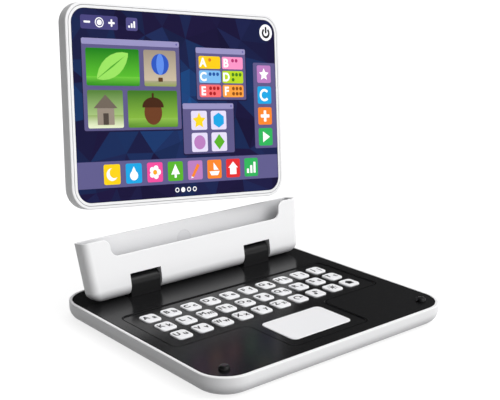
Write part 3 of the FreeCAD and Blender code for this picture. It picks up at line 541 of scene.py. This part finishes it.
def window(left, low, right, high):
    picture.shape(rounded(left - 0.5, low - 1.0, right + 0.7, high - 0.5, 1.6), SHADE, 2)
    picture.shape(rounded(left, low, right, high, 1.4), WINDOW, 3)
    picture.shape(rounded(left, high - 4.3, right, high, 1.2), BAR, 4)
    picture.shape(disc(right - 2.4, high - 2.1, 0.8), "#6660a0", 5)


def tile(x, y, wide, tall, colour, level=4):
    picture.shape(rounded(x - wide / 2, y - tall / 2, x + wide / 2, y + tall / 2, 1.5), colour,
                  level)


window(-85.3, -17.6, -2.0, 47.8)
window(13.3, 4.6, 61.6, 44.4)
window(-0.6, -36.6, 48.2, 1.8)
picture.shape(rounded(69.4, -34.2, half_wide - 0.2, 34.2, 1.2), WINDOW, 3)
edge = half_wide - 0.2
picture.shape(corners((-edge, -58.6), (edge, -58.6), (edge, -39.6), (-edge, -39.6)), BAND, 2)
print("windows drawn")

# %% [markdown]
# ## Four small pictures
# The large window holds four pictures. Each has a sky and a ground that shade from one colour to
# another, because every corner of a face has its own ink. A leaf is what two discs have in common.

# %% Draw the pictures
def landscape(left, low, right, high, sky, ground, split):
    """A rounded picture: a sky and a ground, each shading from its lower to its upper colour."""
    for (below, above), bottom, top in ((sky, split, high), (ground, low, split)):
        part = trim(corners((left, bottom), (right, bottom), (right, top), (left, top)),
                    rounded(left, low, right, high, 1.4))
        picture.shape(part, lambda loop: above if 2 * loop.vert.co.y > bottom + top else below, 5)


landscape(-82.2, 14.4, -38.0, 41.0, ("#55b52a", "#1d7d16"), ("#2e8a1d", "#6cc43a"), 21.0)
picture.shape(trim(disc(-68.8, 40.3, 21.9), disc(-52.2, 16.7, 21.9)), "#94d95c", 6)
picture.shape(corners((-76.2, 17.4), (-60.2, 27.9), (-49.5, 36.2), (-60.8, 28.9)), "#4fa52c", 7)

landscape(-34.0, 14.4, -5.4, 41.0, ("#c3b49c", "#9a8d7d"), ("#8d9a5a", "#a79f86"), 18.5)
picture.shape(disc(-19.7, 30.6, 7.8), "#2b53b8", 6)
picture.shape(disc(-19.7, 30.6, 3.4, 7.8), "#5b87e0", 7)
picture.shape(rounded(-21.7, 17.8, -17.7, 20.9, 0.6), "#5b3b22", 7)

landscape(-82.2, -15.8, -53.0, 11.3, ("#9fbb78", "#557f3a"), ("#dfe6c4", "#8aa65a"), -6.5)
picture.shape(corners((-77.4, -1.6), (-57.8, -1.6), (-67.6, 8.2)), "#6d6257", 6)
picture.shape(rounded(-74.6, -13.5, -60.6, -1.4, 0.5), "#93877a", 6)
picture.shape(rounded(-69.8, -13.5, -65.4, -5.2, 0.4), "#4d443d", 7)

landscape(-49.0, -15.8, -5.4, 11.3, ("#7fae3c", "#3f7424"), ("#5a8c2c", "#8bb84a"), -9.0)
picture.shape(disc(-27.2, -4.8, 7.8, 9.2), "#6a3c22", 6)
cap = corners((-40, -1.2), (-14, -1.2), (-14, 9), (-40, 9))
picture.shape(trim(disc(-27.2, -0.7, 9.4, 7.0), cap), "#452614", 7)
picture.shape(rounded(-28.1, 5.6, -26.3, 9.4, 0.6), "#452614", 7)
print("pictures drawn")

# %% [markdown]
# ## Letters, shapes and the side panel
# The upper window counts from one dot to six on coloured blocks. The lower one shows four plain
# shapes on pale tiles. Four larger tiles with white signs stand in the side panel.

# %% Draw the tiles
blocks = [("A", "#f3c60e", "#d6781c"), ("B", "#f28fbe", "#b02a6a"), ("C", "#79b4e6", "#1f4f9c"),
          ("D", "#b3d21f", "#3f7d1d"), ("E", "#f0686b", "#a8191d"), ("F", "#f39a3c", "#8a4b12")]
for place, (letter, colour, dots) in enumerate(blocks):
    x = 26.2 + 22.4 * (place % 2)
    y = 33.2 - 10.9 * (place // 2)
    tile(x, y, 20.8, 9.6, colour, 5)
    picture.shape(letters(letter, x - 6.4, y, 6.2, 6.2), WHITE, 6)
    for dot in range(place + 1):
        picture.shape(disc(x + 0.2 + 3.6 * (dot % 3), y + 2.0 - 4.0 * (dot // 3), 1.4), dots, 6)

for x, y in ((14.4, -11.2), (33.2, -11.2), (14.4, -28.0), (33.2, -28.0)):
    tile(x, y, 15.0, 14.6, PALE, 5)
picture.shape(star(14.4, -11.5, 6.4, 3.2), "#f6d21c", 6)
picture.shape(star(33.2, -11.2, 5.8, 5.8, tips=3), "#1a9fdc", 6)
picture.shape(disc(14.4, -28.0, 5.4), "#b57ab9", 6)
picture.shape(corners((33.2, -34.0), (38.4, -28.0), (33.2, -22.0), (28.0, -28.0)), "#57ab27", 6)

SIDE = 80.5
for y, colour in ((25.2, "#b57ab9"), (8.4, "#1a9fdc"), (-8.4, "#f2822a"), (-25.2, "#2fae58")):
    tile(SIDE, y, 14.4, 14.0, colour, 4)
picture.shape(star(SIDE, 24.9, 5.2, 2.6), WHITE, 5)
picture.shape(band(SIDE, 8.4, 4.0, 2.0, 40, 320), WHITE, 5)
picture.shape(rounded(SIDE - 1.3, -12.9, SIDE + 1.3, -3.9, 0.6), WHITE, 5)
picture.shape(rounded(SIDE - 4.5, -9.7, SIDE + 4.5, -7.1, 0.6), WHITE, 6)
picture.shape(corners((SIDE - 2.8, -29.6), (SIDE + 4.6, -25.2), (SIDE - 2.8, -20.8)), WHITE, 5)
print("tiles drawn")

# %% [markdown]
# ## The row of buttons
# Eight coloured buttons stand along the bottom, each with a simple white sign. One small function
# draws each sign around its button's middle, and a table pairs the signs with their colours.

# %% Draw the buttons
ROW = -49.1


def moon(x, colour):
    picture.shape(disc(x, ROW, 4.6), WHITE, 4)
    picture.shape(disc(x + 1.8, ROW + 1.2, 3.9), colour, 5)


def drop(x, colour):
    picture.shape(corners((x, ROW + 5.2), (x - 3.4, ROW - 1.6), (x + 3.4, ROW - 1.6)), WHITE, 4)
    picture.shape(disc(x, ROW - 1.6, 3.5), WHITE, 5)


def flower(x, colour):
    for i in range(5):
        turn = math.tau * i / 5
        petal = disc(x + 3.0 * math.cos(turn), ROW + 3.0 * math.sin(turn), 2.2)
        picture.shape(petal, WHITE, 4 + i % 2)
    picture.shape(disc(x, ROW, 1.8), "#f4a11c", 6)


def tree_sign(x, colour):
    picture.shape(corners((x - 4.0, ROW - 2.4), (x + 4.0, ROW - 2.4), (x, ROW + 5.4)), WHITE, 4)
    picture.shape(rounded(x - 1.0, ROW - 5.0, x + 1.0, ROW - 2.2, 0.3), WHITE, 4)


def boat(x, colour):
    picture.shape(corners((x - 3.2, ROW - 4.8), (x + 3.2, ROW - 4.8), (x + 5.0, ROW - 1.6),
                          (x - 5.0, ROW - 1.6)), WHITE, 4)
    picture.shape(corners((x - 0.8, ROW - 0.6), (x + 4.0, ROW - 0.6), (x - 0.8, ROW + 5.2)),
                  WHITE, 4)


def pencil(x, colour):
    picture.shape(corners((x - 3.7, ROW - 4.6), (x - 1.5, ROW - 5.4), (x + 4.3, ROW + 3.6),
                          (x + 1.9, ROW + 5.0)), "#f2822a", 4)
    picture.shape(corners((x - 4.0, ROW - 6.2), (x - 1.5, ROW - 5.4), (x - 3.7, ROW - 4.6)),
                  WHITE, 5)


def house(x, colour):
    picture.shape(corners((x - 4.8, ROW + 0.4), (x + 4.8, ROW + 0.4), (x, ROW + 5.2)), WHITE, 4)
    picture.shape(rounded(x - 3.2, ROW - 4.8, x + 3.2, ROW + 0.6, 0.4), WHITE, 4)


def bars(x, colour):
    for i in range(3):
        left = x - 4.5 + 3.4 * i
        picture.shape(rounded(left, ROW - 4.6, left + 2.2, ROW - 1.0 + 2.6 * i, 0.4), WHITE, 4)


buttons = [(moon, "#f4cb12"), (drop, "#1a9fdc"), (flower, "#ea4a98"), (tree_sign, "#56ad2b"),
           (pencil, "#b57ab9"), (boat, "#f2822a"), (house, "#dd2b2f"), (bars, "#2fae58")]
for place, (sign, colour) in enumerate(buttons):
    x = -64.4 + 18.4 * place
    tile(x, ROW, 13.8, 14.6, colour, 3)
    sign(x, colour)
print(len(buttons), "buttons drawn")

# %% [markdown]
# ## Dots, the top corner and the power sign
# Four dots under the buttons say which page is open. The upper left corner holds two small panels,
# and the upper right the white power button. Then the whole picture is laid on the screen.

# %% Draw the rest and lay the picture
for place in range(4):
    x = -8.1 + 5.4 * place
    picture.shape(disc(x, -63.4, 1.9) if place == 1 else band(x, -63.4, 1.5, 0.7), WHITE, 2)

TOP = 59.0
tile(-70.0, TOP, 30.5, 9.8, "#454179", 3)
picture.shape(rounded(-82.6, TOP - 0.7, -77.4, TOP + 0.7, 0.4), WHITE, 4)
picture.shape(rounded(-62.6, TOP - 0.7, -57.4, TOP + 0.7, 0.4), WHITE, 4)
picture.shape(rounded(-60.7, TOP - 2.6, -59.3, TOP + 2.6, 0.4), WHITE, 5)
picture.shape(disc(-70.0, TOP, 2.0), WHITE, 4)
picture.shape(band(-70.0, TOP, 3.2, 0.7), WHITE, 4)
tile(-43.0, TOP, 9.8, 9.4, "#4f4b83", 3)
for i in range(3):
    left = -46.0 + 2.2 * i
    picture.shape(rounded(left, TOP - 2.6, left + 1.4, TOP - 1.0 + 1.6 * i, 0.3), WHITE, 4)

POWER = 83.8
POWER_DARK = "#1b1b1e"
picture.shape(disc(POWER, 58.6, 6.6), WHITE, 3)
picture.shape(band(POWER, 58.2, 3.3, 1.8, 125, 415), POWER_DARK, 4)
picture.shape(rounded(POWER - 0.9, 58.0, POWER + 0.9, 63.2, 0.5), POWER_DARK, 4)
picture.lay("screen_picture", screen, screen_ink, "tablet")
print("screen printed")

# %% [markdown]
# ## The studio
# The world is a soft studio with three broad lights: one in front, one high on the right and one
# behind. Glossy rays see little of them, so that the black plate mirrors the toy and not a
# bright wall. Rays that look straight at the world, or through something clear, see plain white.
# The paper floor glows a little, so that it reads as white, and still takes the toy's soft shadow.

# %% Build the studio
def rays(tree, *kinds):
    """1 for rays of these kinds and 0 for the others."""
    return sum((tree.add("ShaderNodeLightPath", out=kind) for kind in kinds), start=0.0)


def broad_light(way, fade):
    """Light that is strongest in one direction and fades away from it."""
    look = sky.add("ShaderNodeTexCoord", out="Generated")
    facing = sky.add("ShaderNodeVectorMath", [look, Vector(way).normalized()], out="Value",
                     operation="DOT_PRODUCT")
    return sky.add("ShaderNodeMath", [facing, 0.0], operation="MAXIMUM") ** fade


FADE = 4.0
FRONT, RIGHT, BEHIND = 2.9, 1.95, 1.6
DIMMED = 0.8
world = bpy.data.worlds.new("studio")
bpy.context.scene.world = world
sky = Tree(world)
front = broad_light((0.14, -0.8, 0.5), FADE) * FRONT
high_right = broad_light((0.7, -0.1, 0.75), FADE) * RIGHT
behind = broad_light((0.25, 1.0, 0.1), FADE) * BEHIND
mirror = rays(sky, "Is Glossy Ray")
strength = (front + high_right) * (1 - mirror * DIMMED) + behind * (1 - mirror)
studio = sky.add("ShaderNodeBackground", {"Color": (1, 1, 1, 1), "Strength": strength})
white = sky.add("ShaderNodeBackground", {"Color": (1, 1, 1, 1), "Strength": 1.0})
seen = rays(sky, "Is Camera Ray", "Is Transmission Ray")
sky.add("ShaderNodeOutputWorld",
        {"Surface": sky.add("ShaderNodeMixShader", [seen, studio, white])})
print("studio lit")

# %% Lay the paper floor
ground = bpy.data.materials.new("ground")
tree = Tree(ground)
paper = tree.add("ShaderNodeBsdfDiffuse", {"Color": (0.3, 0.3, 0.3, 1)})
glow = tree.add("ShaderNodeEmission", {"Color": (1, 1, 1, 1), "Strength": 0.8})
bright = tree.add("ShaderNodeAddShader", [paper, glow])
seen = rays(tree, "Is Camera Ray", "Is Glossy Ray", "Is Transmission Ray")
tree.add("ShaderNodeOutputMaterial",
         {"Surface": tree.add("ShaderNodeMixShader", [seen, paper, bright])})
plane = bmesh.new()
bmesh.ops.create_grid(plane, x_segments=1, y_segments=1, size=4.0)
sheet = bpy.data.meshes.new("ground")
plane.to_mesh(sheet)
plane.free()
sheet.materials.append(ground)
floor = bpy.data.objects.new("ground", sheet)
bpy.context.scene.collection.objects.link(floor)
floor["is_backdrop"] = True
print("floor laid")

# %% [markdown]
# ## The lamp and the camera
# One round softbox adds small highlights on the glossy pieces. The camera stands at the front left
# and looks down by about fifteen degrees, where the photographer stood.

# %% Hang the lamp and set the camera
def softbox(name, place, aim, size, watts):
    lamp = bpy.data.lights.new(name, "AREA")
    lamp.shape = "DISK"
    lamp.size = size
    lamp.energy = watts
    thing = bpy.data.objects.new(name, lamp)
    thing.location = place
    thing.rotation_euler = (Vector(aim) - Vector(place)).to_track_quat("-Z", "Y").to_euler()
    bpy.context.scene.collection.objects.link(thing)


softbox("key_lamp", (0.7, -1.0, 1.4), (0.0, 0.0, 0.08), 0.8, 2.0)

STANDPOINT = (-428.1, -510.8, 267.7)
LOOK_DOWN, LOOK_RIGHT = 14.964, 39.77
camera = bpy.data.cameras.new("camera")
camera.lens = 70.0
camera.sensor_width = 36.0
camera.clip_start = 0.01
eye = bpy.data.objects.new("camera", camera)
eye.location = Vector(STANDPOINT) * MM
eye.rotation_euler = (math.radians(90 - LOOK_DOWN), 0.0, math.radians(-LOOK_RIGHT))
bpy.context.scene.collection.objects.link(eye)
bpy.context.scene.camera = eye
bpy.context.scene.view_settings.view_transform = "Standard"
print("camera at", [round(v, 3) for v in eye.location])

# %% [markdown]
# ## Finish
# The overall box of the toy, prints included, is printed.

# %% Write the sizes and finish
low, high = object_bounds()
print("overall", [round(v, 4) for v in high - low])
